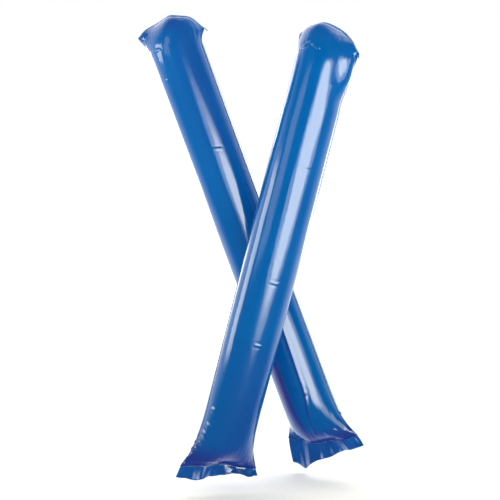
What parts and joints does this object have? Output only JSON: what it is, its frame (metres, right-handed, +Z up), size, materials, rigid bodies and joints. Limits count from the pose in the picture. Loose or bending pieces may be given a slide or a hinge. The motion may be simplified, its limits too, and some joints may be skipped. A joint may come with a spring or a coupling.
{
  "type": "inflatable cheering sticks",
  "caption": "Crossed pair of inflated glossy blue film cheering sticks with welded pillow ends and straw valves in the base fins.",
  "frame": {"origin": "middle of the hand grip on the back stick, on that stick's axis", "axes": "+Z up, +X to the right and +Y away from the viewer, with the pair crossed upright as an X and the front stick on the -Y side"},
  "size_m": [0.2636, 0.1297, 0.5578],
  "materials": {
    "film": "glossy blue polyethylene film, see-through only against strong light",
    "weld": "heat-welded blue film, creased",
    "valve_film": "clear milky film"
  },
  "bodies": {
    "front_stick": {"front_stick_front_panel": "film", "front_stick_rear_panel": "film", "front_stick_left_seam": "weld", "front_stick_right_seam": "weld", "front_stick_base_seal": "weld", "front_stick_tip_seal": "weld", "front_stick_valve_backing": "valve_film"},
    "front_stick_valve": {"front_stick_valve_flap": "valve_film"},
    "back_stick": {"back_stick_front_panel": "film", "back_stick_rear_panel": "film", "back_stick_left_seam": "weld", "back_stick_right_seam": "weld", "back_stick_base_seal": "weld", "back_stick_tip_seal": "weld", "back_stick_valve_backing": "valve_film"},
    "back_stick_valve": {"back_stick_valve_flap": "valve_film"}
  },
  "joints": [
    {"name": "front_stick_lift_away", "type": "slide", "parent": "back_stick", "child": "front_stick", "axis": [0, -1, 0], "range_m": [0, 0.15]},
    {"name": "front_stick_valve_open", "type": "hinge", "parent": "front_stick", "child": "front_stick_valve", "pos_m": [-0.09588, -0.06719, -0.10987], "axis": [-0.9212, -0.309, 0.2365], "range_deg": [0, 8], "stiffness_Nm_per_rad": 0.002},
    {"name": "back_stick_valve_open", "type": "hinge", "parent": "back_stick", "child": "back_stick_valve", "pos_m": [0.02579, 0.00561, -0.09605], "axis": [-0.827, 0.4695, -0.3092], "range_deg": [0, 8], "stiffness_Nm_per_rad": 0.002}
  ]
}
